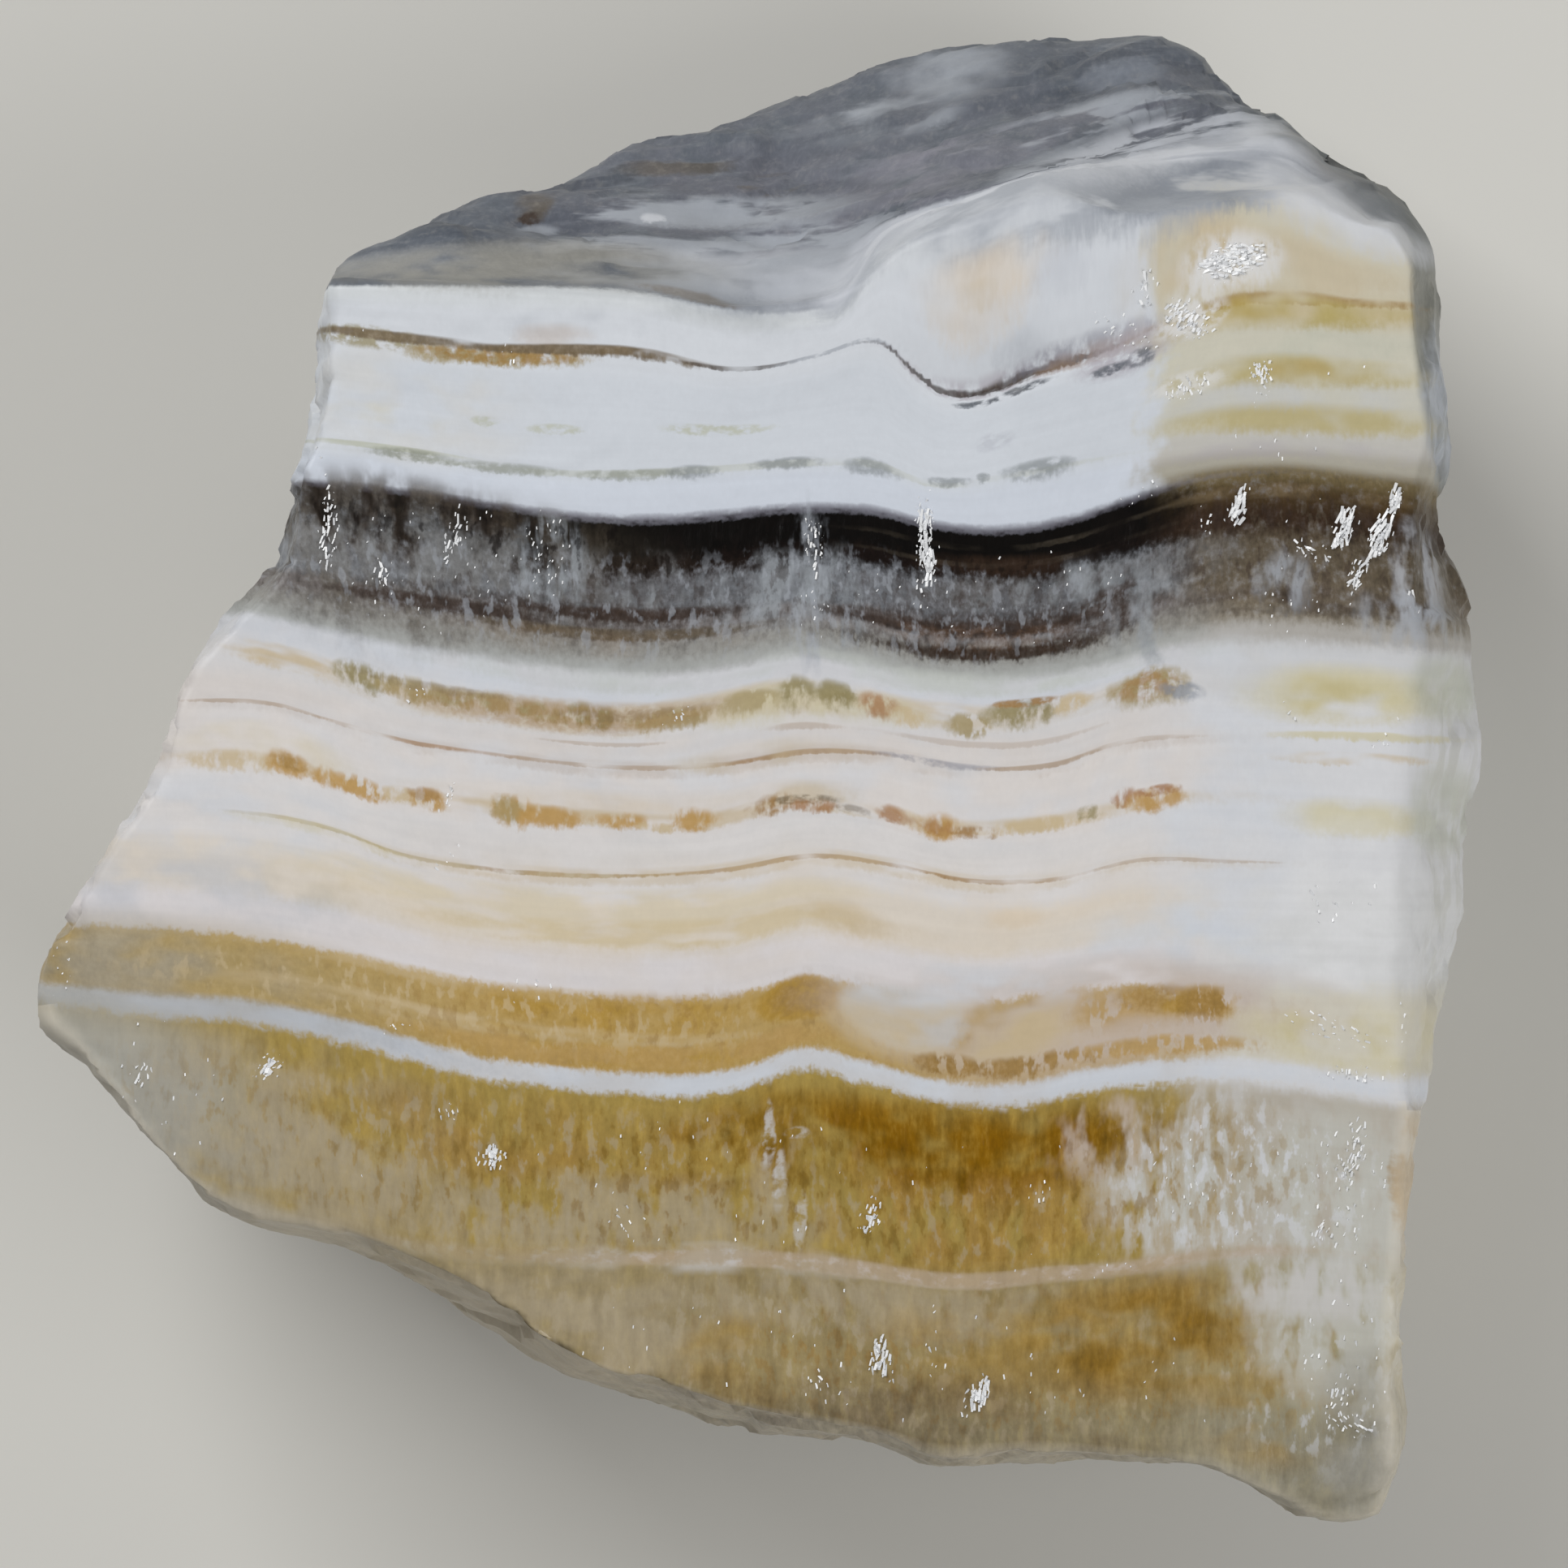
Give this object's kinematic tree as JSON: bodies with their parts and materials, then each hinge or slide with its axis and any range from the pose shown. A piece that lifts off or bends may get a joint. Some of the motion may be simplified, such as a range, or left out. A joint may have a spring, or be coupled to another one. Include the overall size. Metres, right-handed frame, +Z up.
{
  "type": "zebra calcite",
  "caption": "Rough broken piece of banded calcite lying on its back, with wavy white, black, ochre and amber beds across a nearly flat face and a grey ledged edge",
  "frame": {"origin": "middle of the stone's bounding box on the flat resting face", "axes": "+Z up, out of the banded face; +X along the beds to the right; +Y across the beds towards the grey broken edge"},
  "size_m": [0.0982, 0.103, 0.0436],
  "materials": {
    "banded_calcite": "broken crystalline calcite in white, grey, black, ochre and amber beds, satin with bright cleavage specks"
  },
  "bodies": {
    "root": {"zebra_calcite": "banded_calcite"}
  },
  "joints": []
}
